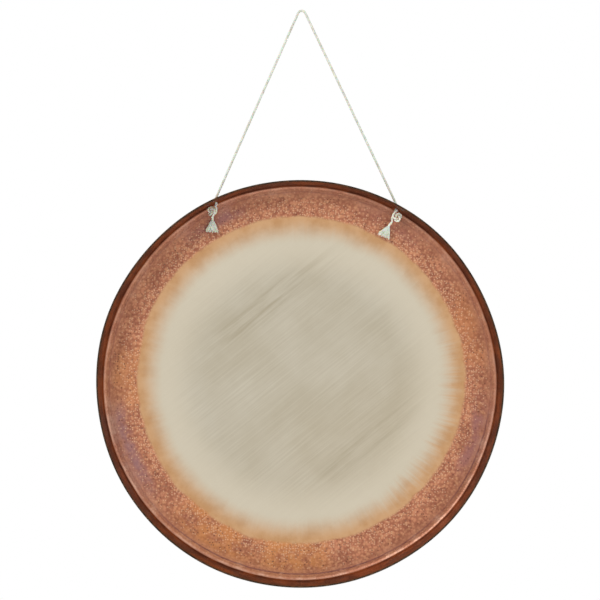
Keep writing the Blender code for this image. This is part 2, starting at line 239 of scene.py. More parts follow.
class Nodes:
    """Adds nodes to a tree and links them, so that a formula reads in order."""

    def __init__(self, tree):
        self.tree, self.column = tree, 0

    def add(self, kind, **settings):
        """A new node of this kind, with these settings."""
        node = self.tree.nodes.new(kind)
        across, down = NODE_SPACING
        node.location = (self.column * across, -(self.column % 4) * down)
        self.column += 1
        for name, value in settings.items():
            setattr(node, name, value)
        return node

    def give(self, socket, value):
        """Links the value to the socket where it is an output, and else sets it."""
        if isinstance(value, bpy.types.NodeSocket):
            self.tree.links.new(value, socket)
        elif value is not None:
            socket.default_value = value

    def math(self, operation, first, second=None):
        node = self.add("ShaderNodeMath", operation=operation)
        self.give(node.inputs[0], first)
        self.give(node.inputs[1], second)
        return node.outputs[0]

    def times(self, product, *others):
        for other in others:
            product = self.math("MULTIPLY", product, other)
        return product

    def plus(self, total, *others):
        for other in others:
            total = self.math("ADD", total, other)
        return total

    def minus(self, first, second):
        return self.math("SUBTRACT", first, second)

    def shift(self, noise, width):
        """The noise, moved to lie evenly about 0 and made this wide."""
        return self.times(self.minus(noise, 0.5), width)

    def vector(self, operation, first, second=None, scale=None):
        node = self.add("ShaderNodeVectorMath", operation=operation)
        self.give(node.inputs[0], first)
        self.give(node.inputs[1], second)
        if scale is not None:
            self.give(node.inputs["Scale"], scale)
        return node.outputs["Value" if operation in ("LENGTH", "DOT_PRODUCT") else "Vector"]

    def combine(self, *axes):
        node = self.add("ShaderNodeCombineXYZ")
        for socket, value in zip(node.inputs, axes):
            self.give(socket, value)
        return node.outputs[0]

    def step(self, value, low, high, to_low=0.0, to_high=1.0):
        """Goes smoothly from to_low to to_high as value goes from low to high."""
        node = self.add("ShaderNodeMapRange", interpolation_type="SMOOTHSTEP")
        names = ("Value", "From Min", "From Max", "To Min", "To Max")
        for name, given in zip(names, (value, low, high, to_low, to_high)):
            self.give(node.inputs[name], given)
        return node.outputs["Result"]

    def noise(self, place, scale, detail=3.0, rough=0.55):
        node = self.add("ShaderNodeTexNoise")
        self.give(node.inputs["Vector"], place)
        for name, value in (("Scale", scale), ("Detail", detail), ("Roughness", rough)):
            self.give(node.inputs[name], value)
        return node.outputs[0]

    def cells(self, place, scale, dimensions="2D"):
        """A pattern of cells, with the distance to each cell's middle and a colour for each cell."""
        node = self.add("ShaderNodeTexVoronoi", voronoi_dimensions=dimensions)
        self.give(node.inputs["Vector"], place)
        self.give(node.inputs["Scale"], scale)
        return node

    def shaken(self, place, scale, width):
        """The place, moved about by noise of this scale and width."""
        return self.vector("ADD", place, self.vector("SCALE", self.noise(place, scale), scale=width))

    def mix(self, share, first, second):
        """The first colour where the share is 0, and the second where it is 1."""
        node = self.add("ShaderNodeMix", data_type="RGBA")
        self.give(node.inputs[0], share)
        self.give(node.inputs[6], first)
        self.give(node.inputs[7], second)
        return node.outputs[2]


def new_group(kind, name, inputs, outputs):
    """A node group with these named sockets: (its Nodes, input sockets by name, group output node)."""
    tree = bpy.data.node_groups.new(name, kind)
    for in_out, sockets in (("INPUT", inputs), ("OUTPUT", outputs)):
        for label, socket_type, default in sockets:
            socket = tree.interface.new_socket(name=label, in_out=in_out, socket_type=socket_type)
            if default is not None:
                socket.default_value = default
    nodes = Nodes(tree)
    start = nodes.add("NodeGroupInput")
    end = tree.nodes.new("NodeGroupOutput")
    return nodes, start.outputs, end


def run_group(item, tree, **values):
    """Applies a Geometry Nodes group with these inputs, and gives the finished plain mesh object."""
    modifier = item.modifiers.new(tree.name, "NODES")
    modifier.node_group = tree
    for socket in tree.interface.items_tree:
        key = socket.name.lower().replace(" ", "_")
        if socket.in_out == "INPUT" and key in values:
            modifier[socket.identifier] = values[key]
    return plain(item)


def plain(item):
    """Turns the object into a plain mesh at the origin, with its modifiers worked in."""
    graph = bpy.context.evaluated_depsgraph_get()
    graph.update()
    finished = item.evaluated_get(graph)
    mesh = bpy.data.meshes.new_from_object(finished, preserve_all_data_layers=True, depsgraph=graph)
    mesh.transform(item.matrix_world)
    name, old = item.name, item.data
    bpy.data.objects.remove(item, do_unlink=True)
    if old.users == 0:
        bpy.data.meshes.remove(old)
    mesh.name = name
    made = bpy.data.objects.new(name, mesh)
    bpy.context.scene.collection.objects.link(made)
    return made


def add_mesh(name, verts, edges=(), faces=()):
    """A new object of these points, edges and faces."""
    mesh = bpy.data.meshes.new(name)
    mesh.from_pydata(verts, edges, faces)
    item = bpy.data.objects.new(name, mesh)
    bpy.context.scene.collection.objects.link(item)
    return item


def mesh_points(mesh):
    """The mesh's points as an array with one row each."""
    points = np.zeros(len(mesh.vertices) * 3)
    mesh.vertices.foreach_get("co", points)
    return points.reshape(-1, 3)


def finish_piece(item, material, body, node):
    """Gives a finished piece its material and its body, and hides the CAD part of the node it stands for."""
    item.data.materials.clear()
    item.data.materials.append(material)
    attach(item, body)
    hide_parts(node)


# The sheet

def wall_slope():
    """How far the rim's wall leans out for each metre of its depth."""
    return (LIP_DIAMETER - CORNER_DIAMETER) / 2 / RIM_DEPTH


def corner_arc(before, corner, after, radius, steps):
    """Points of the fillet of this radius at the corner of two straight lines."""
    corner, before, after = Vector(corner), Vector(before), Vector(after)
    to_before, to_after = (before - corner).normalized(), (after - corner).normalized()
    half = to_before.angle(to_after) / 2
    centre = corner + (to_before + to_after).normalized() * radius / math.sin(half)
    start = corner + to_before * radius / math.tan(half) - centre
    turn = start.angle_signed(corner + to_after * radius / math.tan(half) - centre)
    return [tuple(centre + Matrix.Rotation(-turn * step / steps, 2) @ start) for step in range(steps + 1)]


def sheet_profile():
    """The closed outline of the sheet's section, as (radius, height), anticlockwise, with its
    rings close together where the front is hammered."""
    corner, lip, crease = CORNER_DIAMETER / 2, LIP_DIAMETER / 2, DISH_DIAMETER / 2
    lip_inside, below_lip = lip - LIP_SHEET, RIM_DEPTH - LIP_EDGE

    def dish(lift, radii):
        return [(radius, lift - DISH_DEPTH * (1 - (radius / crease) ** 2)) for radius in radii]

    hammered = list(np.linspace(crease, CLOSE_RINGS_FROM, HAMMERED_RINGS))
    centre = list(np.linspace(CLOSE_RINGS_FROM, 0.0, CENTRE_RINGS))[1:]
    back = dish(0.0, np.linspace(0.0, crease, BACK_RINGS))
    outer_corner = corner_arc(
        (crease, 0), (corner, 0), (lip, RIM_DEPTH), CORNER_RADIUS + SHEET, OUTER_CORNER_STEPS
    )
    outer_wall = [
        (corner + wall_slope() * height, height)
        for height in np.linspace(outer_corner[-1][1], below_lip, OUTER_WALL_RINGS)[1:]
    ]
    quarter = [
        (LIP_EDGE * (1 - math.cos(math.radians(angle))), LIP_EDGE * (1 - math.sin(math.radians(angle))))
        for angle in LIP_EDGE_ANGLES
    ]
    lip_edge = [(lip - inwards, RIM_DEPTH - down) for inwards, down in quarter]
    lip_edge += [(lip_inside + inwards, RIM_DEPTH - down) for inwards, down in quarter[::-1]]
    inner_corner = corner_arc(
        (lip_inside, RIM_DEPTH), (corner - SHEET, SHEET), (crease, SHEET), CORNER_RADIUS, INNER_CORNER_STEPS
    )
    foot_radius, foot_height = inner_corner[0]
    inner_wall = [
        (lip_inside + (foot_radius - lip_inside) * share, below_lip + (foot_height - below_lip) * share)
        for share in np.linspace(0, 1, INNER_WALL_RINGS)[:-1]
    ]
    front = dish(SHEET, hammered + centre)
    return back + outer_corner + outer_wall + lip_edge + inner_wall + inner_corner + front


def waves(table, angle):
    """How far these waves move the sheet outwards at this angle."""
    return sum(height * math.cos(count * angle - math.radians(peak)) for count, height, peak in table)


def sheet_mesh(name, steps):
    """The section turned about local Y, a little out of round at the corner and the lip."""
    verts, rings = [], []
    fade_from = DISH_DIAMETER / 2
    fade_over = CORNER_DIAMETER / 2 - CORNER_RADIUS - fade_from
    angles = [2 * math.pi * step / steps for step in range(steps)]
    corner_out = [waves(CORNER_WAVES, angle) for angle in angles]
    lip_out = [waves(LIP_WAVES, angle) for angle in angles]
    for radius, height in sheet_profile():
        if radius < ON_AXIS:
            rings.append([len(verts)] * steps)
            verts.append((0.0, -height, 0.0))
            continue
        share = min(1.0, max(0.0, height / RIM_DEPTH))
        fade = min(1.0, max(0.0, (radius - fade_from) / fade_over))
        rings.append(list(range(len(verts), len(verts) + steps)))
        for angle, low, high in zip(angles, corner_out, lip_out):
            far = radius + ((1 - share) * low + share * high) * fade
            verts.append((far * math.cos(angle), -height, far * math.sin(angle)))
    item = add_mesh(name, verts, (), ring_faces(rings, steps))
    shell = bmesh.new()
    shell.from_mesh(item.data)
    bmesh.ops.recalc_face_normals(shell, faces=shell.faces)
    shell.to_mesh(item.data)
    shell.free()
    return item


def ring_faces(rings, steps):
    """Faces between each ring of points and the next, where a ring of one point is a pole."""
    faces = []
    for first, second in zip(rings, rings[1:]):
        for step in range(steps):
            after = (step + 1) % steps
            if first[0] == first[1]:
                faces.append((first[0], second[step], second[after]))
            elif second[0] == second[1]:
                faces.append((first[step], second[0], first[after]))
            else:
                faces.append((first[step], second[step], second[after], first[after]))
    return faces


def mark_hammered(mesh):
    """Writes how strongly each point of the front is hammered, as the hammer attribute."""
    points = mesh_points(mesh)
    radius = np.hypot(points[:, 0], points[:, 2])
    dish = DISH_DEPTH * np.clip(1 - (radius / (DISH_DIAMETER / 2)) ** 2, 0, 1)
    front = (points[:, 1] < -SHEET * 0.5 + dish).astype(float)
    inner = np.clip((radius - HAMMER_FROM) / HAMMER_FADE_IN, 0, 1)
    outer = np.clip((HAMMER_TO - radius) / HAMMER_FADE_OUT, 0, 1)
    strength = front * (HAMMER_LEAST + (1 - HAMMER_LEAST) * inner * outer)
    strength = strength * (radius < CORNER_DIAMETER / 2 - HAMMER_MARGIN)
    mesh.attributes.new("hammer", "FLOAT", "POINT").data.foreach_set("value", strength.astype(np.float32))


def bore_hole(disc, side):
    """The disc with the cord hole of this side cut through its rim."""
    bore = bmesh.new()
    bmesh.ops.create_cone(
        bore, cap_ends=True, segments=BORE_SIDES, radius1=HOLE_DIAMETER / 2, radius2=HOLE_DIAMETER / 2,
        depth=BORE_LENGTH,
    )
    turn = hole_direction(side).to_track_quat("Z", "Y").to_matrix().to_4x4()
    middle = hole_direction(side) * wall_radius() + Vector((0.0, -HOLE_FROM_FACE, 0.0))
    bmesh.ops.transform(bore, matrix=Matrix.Translation(middle) @ turn, verts=bore.verts)
    cutter = add_mesh("bore", [(0, 0, 0)])
    bore.to_mesh(cutter.data)
    bore.free()
    cut = disc.modifiers.new("bore", "BOOLEAN")
    cut.operation, cut.solver, cut.object = "DIFFERENCE", "MANIFOLD", cutter
    disc = plain(disc)
    bpy.data.objects.remove(cutter, do_unlink=True)
    return disc


def mark_place(mesh):
    """Writes each point's place on the sheet, with its height over the back as Y, for the bronze."""
    local = (mesh_points(mesh) * (1, -1, 1)).ravel().astype(np.float32)
    mesh.attributes.new("gong_place", "FLOAT_VECTOR", "POINT").data.foreach_set("vector", local)


def hammer_group():
    """Geometry Nodes: hammer marks where the hammer attribute says, and a slow ripple of the sheet."""
    nodes, given, end = new_group(
        "GeometryNodeTree", "Hammered sheet",
        [("Geometry", "NodeSocketGeometry", None), ("Depth", "NodeSocketFloat", 0.0002),
         ("Cell", "NodeSocketFloat", 0.004), ("Ripple", "NodeSocketFloat", 0.0002)],
        [("Geometry", "NodeSocketGeometry", None)],
    )
    place = nodes.add("GeometryNodeInputPosition").outputs[0]
    mark = nodes.add("GeometryNodeInputNamedAttribute", data_type="FLOAT")
    mark.inputs["Name"].default_value = "hammer"
    amount = mark.outputs["Attribute"]
    flat = nodes.vector("MULTIPLY", place, (1.0, 0.0, 1.0))
    cell = nodes.cells(nodes.shaken(flat, 60.0, 0.004), nodes.math("DIVIDE", 1.0, given["Cell"]), "3D")
    dent = nodes.step(cell.outputs["Distance"], 0.62, 0.02)
    uneven = nodes.noise(flat, 90.0, 1.0)
    sink = nodes.times(dent, uneven, given["Depth"], nodes.times(amount, 2.0))
    wave = nodes.shift(nodes.noise(flat, 17.0, 2.0), given["Ripple"])
    wave = nodes.times(wave, nodes.plus(amount, 0.35))
    normal = nodes.add("GeometryNodeInputNormal").outputs[0]
    move = nodes.add("GeometryNodeSetPosition")
    nodes.give(move.inputs["Geometry"], given["Geometry"])
    nodes.give(move.inputs["Offset"], nodes.vector("SCALE", normal, scale=nodes.minus(wave, sink)))
    nodes.give(end.inputs[0], move.outputs[0])
    return nodes.tree


# How the gong hangs

def hole_direction(side):
    """Direction from the gong's axis to a hole, in the gong's frame."""
    angle = math.radians(HOLE_HALF_ANGLE)
    return Vector((side * math.sin(angle), 0.0, math.cos(angle)))


def wall_radius():
    """Radius of the middle of the rim's wall at the holes."""
    return CORNER_DIAMETER / 2 + wall_slope() * HOLE_FROM_FACE - SHEET / 2


def bend_radius():
    """Radius of the point outside each hole where the cord bends as the gong tips."""
    return wall_radius() + SHEET / 2 + BEND_CLEARANCE + CORD_DIAMETER / 4


def hanging_frame():
    """Matrix of the gong's frame where it hangs, with its centre of mass straight below the hook."""
    drop = bend_radius() * math.cos(math.radians(HOLE_HALF_ANGLE))
    lean = math.atan2(HOLE_FROM_FACE - MASS_RISE, drop)
    turn = math.radians(GONG_TURN)
    hinge = Vector((math.cos(turn), 0, -math.sin(turn)))
    upright = Vector((math.sin(turn), 0, math.cos(turn)))
    back = Vector((0, 1, 0))
    local_y = back * math.cos(lean) - upright * math.sin(lean)
    local_z = upright * math.cos(lean) + back * math.sin(lean)
    rotation = Matrix((hinge, local_y, local_z)).transposed()
    origin = Vector((0, 0, -HANG_DROP)) - rotation @ Vector((0, -MASS_RISE, 0))
    return Matrix.Translation(origin) @ rotation.to_4x4()


def bend_points():
    """The two points, left and right, where the cord bends outside the holes."""
    place, middle = hanging_frame(), Vector((0, -HOLE_FROM_FACE, 0))
    return [place @ (hole_direction(side) * bend_radius() + middle) for side in (-1, 1)]


# The cord and its knots

def smooth_line(route, spacing):
    """Points about this far apart on a smooth curve through the route's own points."""
    points = [Vector(point) for point in route]
    points = [2 * points[0] - points[1]] + points + [2 * points[-1] - points[-2]]
    line = []
    for p0, p1, p2, p3 in zip(points, points[1:], points[2:], points[3:]):
        t1 = (p1 - p0).length ** 0.5
        t2 = t1 + (p2 - p1).length ** 0.5
        t3 = t2 + (p3 - p2).length ** 0.5
        count = max(1, round((p2 - p1).length / spacing))
        for step in range(count):
            t = t1 + (t2 - t1) * step / count
            a1 = p0 * ((t1 - t) / t1) + p1 * (t / t1)
            a2 = p1 * ((t2 - t) / (t2 - t1)) + p2 * ((t - t1) / (t2 - t1))
            a3 = p2 * ((t3 - t) / (t3 - t2)) + p3 * ((t - t2) / (t3 - t2))
            b1 = a1 * ((t2 - t) / t2) + a2 * (t / t2)
            b2 = a2 * ((t3 - t) / (t3 - t1)) + a3 * ((t - t1) / (t3 - t1))
            line.append(b1 * ((t2 - t) / (t2 - t1)) + b2 * ((t - t1) / (t2 - t1)))
    line.append(points[-2])
    return line


def free_cord_route(bends):
    """The cord's way from one hole over the hook to the other, as points of its middle line."""
    radius = (HOOK_DIAMETER + CORD_DIAMETER) / 2
    hook = Vector((0, 0, -HOOK_DIAMETER / 2))

    def on_hook(side, angle):
        return hook + radius * Vector((side * math.cos(angle), 0, math.sin(angle)))

    sides = []
    for bend, side in zip(bends, (-1, 1)):
        away = bend - hook
        angle = math.atan2(side * away.x, -away.z) + math.asin(radius / away.length)
        touch = on_hook(side, angle)
        leg = (bend - touch).normalized()
        end = bend - leg * (CORD_DIAMETER / 2 + FIT_GAP)
        middle = [touch.lerp(end, share) for share in (0.75, 0.5, 0.25, 0.02)]
        rise = math.pi / 2 - angle
        sides.append([end] + middle + [on_hook(side, angle + rise * share) for share in (0.0, 0.34, 0.67)])
    return sides[0] + [hook + Vector((0, 0, radius))] + sides[1][::-1]


def knot_line():
    """An overhand knot round its own middle: the three-lobed curve, opened at one lobe, with
    its ends crossing there and leaving along -Y and +Y."""
    pitch = KNOT_CORD_DIAMETER + KNOT_GAP
    mean, swing, lift, start = 1.135 * pitch, 0.50 * pitch, 0.60 * pitch, 0.45
    wide, high = 1.75 * pitch, 0.62 * pitch
    lobes = []
    for step in range(LOBE_STEPS + 1):
        t = start + (2 * math.pi - 2 * start) * step / LOBE_STEPS
        radius = mean + swing * math.cos(3 * t)
        lobes.append(Vector((radius * math.cos(2 * t), radius * math.sin(2 * t), lift * math.sin(3 * t))))
    enter = [
        Vector((wide * 0.70, -2.15 * pitch, high * 0.80)),
        Vector((wide, -1.05 * pitch, high)),
        Vector((wide * 1.03, 0.0, high * 1.02)),
        Vector((wide * 0.93, 0.72 * pitch, high * 0.92)),
    ]
    leave = [Vector((point.x, -point.y, -point.z)) for point in enter[::-1]]
    return smooth_line(enter + lobes + leave, KNOT_CORD_DIAMETER * 0.38)


def bridge(start, start_way, end, end_way):
    """A smooth run from one point and direction to another, without its two ends."""
    reach = (end - start).length * BRIDGE_PULL
    p1, p2 = start + start_way * reach, end - end_way * reach
    points = []
    for step in range(1, BRIDGE_STEPS):
        t = step / BRIDGE_STEPS
        from_start = start * (1 - t) ** 3 + p1 * 3 * t * (1 - t) ** 2
        points.append(from_start + p2 * 3 * t * t * (1 - t) + end * t ** 3)
    return points


def fade_radii(first, last, count):
    """Radii that go evenly from the first to the last over this many points."""
    return [first + (last - first) * (step + 1) / count for step in range(count)]


def from_hole(side, right, down, out):
    """Gong-frame point at these distances from a hole's bend point, out being to the viewer."""
    return hole_direction(side) * bend_radius() + Vector((right, -HOLE_FROM_FACE - out, -down))


def hanging_way(right, down, out):
    """Gong-frame direction with these shares, out being to the viewer."""
    return Vector((right, -out, -down)).normalized()


def wall_gap(line, radius):
    """Least gap between a tube inside the pan and the rim's inner side, in the gong's frame."""
    slope = wall_slope()
    inside = CORNER_DIAMETER / 2 - SHEET
    square = math.cos(math.atan(slope))
    return min((inside - slope * point.y - math.hypot(point.x, point.z)) * square for point in line) - radius


def knot_way(side, place, run, face, tail_end, tail_way):
    """One end of the cord in the gong's frame, down to its frayed part: its points and their radii."""
    run, face = hanging_way(*run), hanging_way(*face)
    face = (face - run * face.dot(run)).normalized()
    spin = Matrix((run.cross(face), run, face)).transposed()
    outward = hole_direction(side)
    tight, tip, loose = KNOT_CORD_DIAMETER / 2, CORD_DIAMETER / 2, TAIL_DIAMETER / 2
    knot = [from_hole(side, *place) + spin @ point for point in knot_line()]
    push = wall_gap(knot, tight) - KNOT_SEAT_GAP
    knot = [point + outward * push for point in knot]
    bend = from_hole(side, 0, 0, 0)
    through = SHEET + BEND_CLEARANCE + CORD_DIAMETER / 4 + SHANK_PROUD
    shank = [bend + outward * tip * SHANK_TIP]
    shank += [bend - outward * through * share for share in (0.0, 0.5, 1.0)]
    lead = bridge(shank[-1], -outward, knot[0], (knot[1] - knot[0]).normalized())
    end, way = from_hole(side, *tail_end), hanging_way(*tail_way)
    before_end = end - way * TAIL_DIAMETER * 0.4
    tail = bridge(knot[-1], (knot[-1] - knot[-2]).normalized(), before_end, way) + [before_end, end]
    radii = [tip * SHANK_TIP] + [tip] * 3 + fade_radii(tip, tight, len(lead))
    radii += [tight] * len(knot) + fade_radii(tight, loose, len(tail))
    return shank + lead + knot + tail, radii


def add_line(name, line, radii):
    """A line of edges that carries the cord's radius at each point."""
    item = add_mesh(name, [tuple(point) for point in line], [(i, i + 1) for i in range(len(line) - 1)])
    item.data.attributes.new("cord_radius", "FLOAT", "POINT").data.foreach_set("value", radii)
    return item


def lay_up(item, settings, material):
    """The line's cord, laid up from its strands."""
    group = bpy.data.node_groups.get("Laid cord") or cord_group()
    return run_group(
        item, group, strands=settings.strands, lay=settings.lay_length, sides=STRAND_SIDES, material=material
    )


def cord_group():
    """Geometry Nodes: strands laid up round a line of edges whose cord_radius is its thickness."""
    nodes, given, end = new_group(
        "GeometryNodeTree", "Laid cord",
        [("Geometry", "NodeSocketGeometry", None), ("Strands", "NodeSocketInt", 3),
         ("Lay", "NodeSocketFloat", 0.012), ("Sides", "NodeSocketInt", 8),
         ("Material", "NodeSocketMaterial", None)],
        [("Geometry", "NodeSocketGeometry", None)],
    )
    line = nodes.add("GeometryNodeMeshToCurve")
    nodes.give(line.inputs["Mesh"], given["Geometry"])
    mark = nodes.add("GeometryNodeInputNamedAttribute", data_type="FLOAT")
    mark.inputs["Name"].default_value = "cord_radius"
    thick = mark.outputs["Attribute"]
    even = nodes.add("GeometryNodeResampleCurve", mode="LENGTH")
    nodes.give(even.inputs["Curve"], line.outputs[0])
    nodes.give(even.inputs["Length"], nodes.math("DIVIDE", given["Lay"], STEPS_IN_LAY))
    copies = nodes.add("GeometryNodeDuplicateElements", domain="SPLINE")
    nodes.give(copies.inputs["Geometry"], even.outputs[0])
    nodes.give(copies.inputs["Amount"], given["Strands"])
    along = nodes.add("GeometryNodeSplineParameter").outputs["Length"]
    strand = nodes.math("DIVIDE", copies.outputs["Duplicate Index"], given["Strands"])
    turns = nodes.plus(nodes.math("DIVIDE", along, given["Lay"]), strand)
    angle = nodes.times(turns, 2 * math.pi)
    tangent = nodes.add("GeometryNodeInputTangent").outputs[0]
    normal = nodes.add("GeometryNodeInputNormal").outputs[0]
    sideways = nodes.vector("CROSS_PRODUCT", tangent, normal)
    away = nodes.vector(
        "ADD", nodes.vector("SCALE", normal, scale=nodes.math("COSINE", angle)),
        nodes.vector("SCALE", sideways, scale=nodes.math("SINE", angle)),
    )
    offset = nodes.vector("SCALE", away, scale=nodes.times(thick, STRAND_OFFSET))
    move = nodes.add("GeometryNodeSetPosition")
    nodes.give(move.inputs["Geometry"], copies.outputs[0])
    nodes.give(move.inputs["Offset"], offset)
    ring = nodes.add("GeometryNodeCurvePrimitiveCircle")
    nodes.give(ring.inputs["Resolution"], given["Sides"])
    nodes.give(ring.inputs["Radius"], STRAND_SIZE)
    finish_tubes(nodes, move.outputs[0], thick, ring.outputs["Curve"], given["Material"], end)
    return nodes.tree


def finish_tubes(nodes, curves, radius, ring, material, end):
    """Sweeps the ring along the curves, scaled by this radius, and gives the tubes their material."""
    width = nodes.add("GeometryNodeSetCurveRadius")
    nodes.give(width.inputs["Curve"], curves)
    nodes.give(width.inputs["Radius"], radius)
    tubes = nodes.add("GeometryNodeCurveToMesh")
    nodes.give(tubes.inputs["Curve"], width.outputs[0])
    nodes.give(tubes.inputs["Profile Curve"], ring)
    nodes.give(tubes.inputs["Scale"], nodes.add("GeometryNodeInputRadius").outputs[0])
    tubes.inputs["Fill Caps"].default_value = True
    smooth = nodes.add("GeometryNodeSetShadeSmooth")
    nodes.give(smooth.inputs[0], tubes.outputs[0])
    paint = nodes.add("GeometryNodeSetMaterial")
    nodes.give(paint.inputs["Geometry"], smooth.outputs[0])
    nodes.give(paint.inputs["Material"], material)
    real = nodes.add("GeometryNodeRealizeInstances")
    nodes.give(real.inputs[0], paint.outputs[0])
    nodes.give(end.inputs[0], real.outputs[0])


def fray_group():
    """Geometry Nodes: threads that spread from a round tail along +Z into a flat, ragged brush."""
    nodes, given, end = new_group(
        "GeometryNodeTree", "Frayed end",
        [("Geometry", "NodeSocketGeometry", None), ("Threads", "NodeSocketInt", 200),
         ("Length", "NodeSocketFloat", 0.018), ("Width", "NodeSocketFloat", 0.02),
         ("Thickness", "NodeSocketFloat", 0.007), ("Neck", "NodeSocketFloat", 0.0044),
         ("Thread", "NodeSocketFloat", 0.0006), ("Ragged", "NodeSocketFloat", 0.2),
         ("Seed", "NodeSocketInt", 1), ("Material", "NodeSocketMaterial", None)],
        [("Geometry", "NodeSocketGeometry", None)],
    )
    line = nodes.add("GeometryNodeCurvePrimitiveLine")
    line.inputs["End"].default_value = (0.0, 0.0, 1.0)
    points = nodes.add("GeometryNodeResampleCurve", mode="COUNT")
    nodes.give(points.inputs["Curve"], line.outputs[0])
    points.inputs["Count"].default_value = 15
    copies = nodes.add("GeometryNodeDuplicateElements", domain="SPLINE")
    nodes.give(copies.inputs["Geometry"], points.outputs[0])
    nodes.give(copies.inputs["Amount"], given["Threads"])
    index = copies.outputs["Duplicate Index"]
    share = nodes.add("GeometryNodeSplineParameter").outputs["Factor"]

    def chance(low, high, shift):
        """A number of each thread's own, the shift keeping one use apart from another."""
        node = nodes.add("FunctionNodeRandomValue", data_type="FLOAT")
        node.inputs[2].default_value, node.inputs[3].default_value = low, high
        nodes.give(node.inputs["ID"], index)
        nodes.give(node.inputs["Seed"], nodes.plus(given["Seed"], float(shift)))
        return node.outputs[1]

    def sway(turns, size, shift):
        """A wave along the thread that grows towards its tip."""
        wave = nodes.math("SINE", nodes.plus(nodes.times(share, turns), chance(0.0, 6.28, shift)))
        return nodes.times(wave, share, size)

    def half(total, room):
        """Half the brush's width or thickness where the threads have spread by this much."""
        full = nodes.minus(nodes.times(total, 0.5), given["Thread"])
        return nodes.plus(neck, nodes.times(nodes.minus(full, neck), room))

    neck = nodes.times(given["Neck"], 0.42)
    across = chance(-1.0, 1.0, 11)
    round_off = nodes.math("SQRT", nodes.minus(1.0, nodes.times(across, across)))
    through = nodes.times(chance(-1.0, 1.0, 23), round_off)
    spread = nodes.math("POWER", share, nodes.plus(0.85, chance(0.0, 0.5, 31)))
    deepen = nodes.math("POWER", share, 0.7)
    wide = nodes.plus(nodes.times(across, half(given["Width"], spread)), sway(7.0, 0.00055, 41))
    deep = nodes.plus(nodes.times(through, half(given["Thickness"], deepen)), sway(9.0, 0.00045, 43))
    bunch = nodes.math("SINE", nodes.times(across, 14.0))
    short = nodes.minus(1.0, nodes.times(chance(0.0, 1.0, 53), given["Ragged"]))
    short = nodes.plus(short, nodes.times(bunch, 0.035))
    down = nodes.times(share, given["Length"], short)
    move = nodes.add("GeometryNodeSetPosition")
    nodes.give(move.inputs["Geometry"], copies.outputs[0])
    nodes.give(move.inputs["Position"], nodes.combine(wide, deep, down))
    taper = nodes.times(given["Thread"], nodes.minus(0.5, nodes.times(share, 0.16)))
    ring = nodes.add("GeometryNodeCurvePrimitiveCircle")
    ring.inputs["Resolution"].default_value, ring.inputs["Radius"].default_value = 5, 1.0
    finish_tubes(nodes, move.outputs[0], taper, ring.outputs["Curve"], given["Material"], end)
    return nodes.tree


# The bronze

def sheet_values(nodes, place):
    """What the zones of the bronze share: places on the sheet, and noises from broad to fine."""
    split = nodes.add("ShaderNodeSeparateXYZ")
    nodes.give(split.inputs[0], place)
    flat = nodes.combine(split.outputs[0], split.outputs[2], 0.0)
    sheet = SimpleNamespace(
        place=place,
        rise=split.outputs[1],
        flat=flat,
        radius=nodes.vector("LENGTH", flat),
        way=nodes.vector("NORMALIZE", flat),
        broad=nodes.noise(flat, 9.0, 3.0),
        blotch=nodes.noise(flat, 34.0, 4.0, 0.6),
        fine=nodes.noise(flat, 150.0, 3.0, 0.6),
        grain=nodes.noise(flat, 420.0, 2.0, 0.6),
    )
    sheet.low = facing(nodes, sheet, -100, 30, 120)
    uneven = nodes.plus(sheet.radius, nodes.shift(sheet.broad, 0.010), nodes.shift(sheet.blotch, 0.008))
    sheet.inner = nodes.plus(uneven, nodes.times(sheet.low, 0.0075))
    return sheet


def facing(nodes, sheet, angle, narrow, wide):
    """1 within the narrow angle of this direction, in degrees, and 0 beyond the wide one."""
    towards = (math.cos(math.radians(angle)), math.sin(math.radians(angle)), 0.0)
    turned = nodes.vector("DOT_PRODUCT", sheet.way, towards)
    return nodes.step(turned, math.cos(math.radians(wide)), math.cos(math.radians(narrow)))


def hammered_ring(nodes, sheet, light):
    """Colour of the hammered ring, and the distance from the middle of each small dent."""
    ring = nodes.mix(nodes.step(sheet.blotch, 0.36, 0.66), linear(166, 102, 76), light)
    ring = nodes.mix(nodes.step(sheet.fine, 0.42, 0.72), ring, linear(210, 148, 108))
    ring = nodes.mix(nodes.times(nodes.step(sheet.grain, 0.55, 0.75), 0.4), ring, linear(134, 78, 62))
    mark = nodes.cells(nodes.shaken(sheet.flat, 120.0, 0.003), 1 / 0.0052).outputs["Distance"]
    ring = nodes.mix(nodes.step(mark, 0.30, 0.62, 0.0, 0.45), ring, linear(136, 78, 58))
    ring = nodes.mix(nodes.step(mark, 0.30, 0.02, 0.0, 0.35), ring, linear(222, 158, 120))
    outside = nodes.step(sheet.radius, *TINT_FADE)
    for angle, narrow, wide, tint, strength, outer_only in RING_TINTS:
        amount = nodes.times(facing(nodes, sheet, angle, narrow, wide), strength)
        amount = nodes.times(amount, nodes.step(sheet.blotch, 0.30, 0.62))
        if outer_only:
            amount = nodes.times(amount, outside)
        ring = nodes.mix(amount, ring, linear(*tint))
    dent = nodes.cells(sheet.flat, 1 / 0.0036)
    distance = dent.outputs["Distance"]
    chosen = nodes.add("ShaderNodeSeparateColor")
    nodes.give(chosen.inputs[0], dent.outputs["Color"])
    left_out = nodes.step(sheet.inner, *CROWD_FADE, 0.86, 0.25)
    is_shiny = nodes.math("GREATER_THAN", chosen.outputs[0], left_out)
    is_dark = nodes.math("LESS_THAN", chosen.outputs[1], 0.10)
    shiny = nodes.times(nodes.step(distance, 0.38, 0.12), is_shiny, 0.55)
    dark = nodes.times(nodes.step(distance, 0.40, 0.14), is_dark, 0.7)
    ring = nodes.mix(shiny, ring, linear(236, 192, 154))
    ring = nodes.mix(dark, ring, linear(92, 52, 44))
    return ring, distance


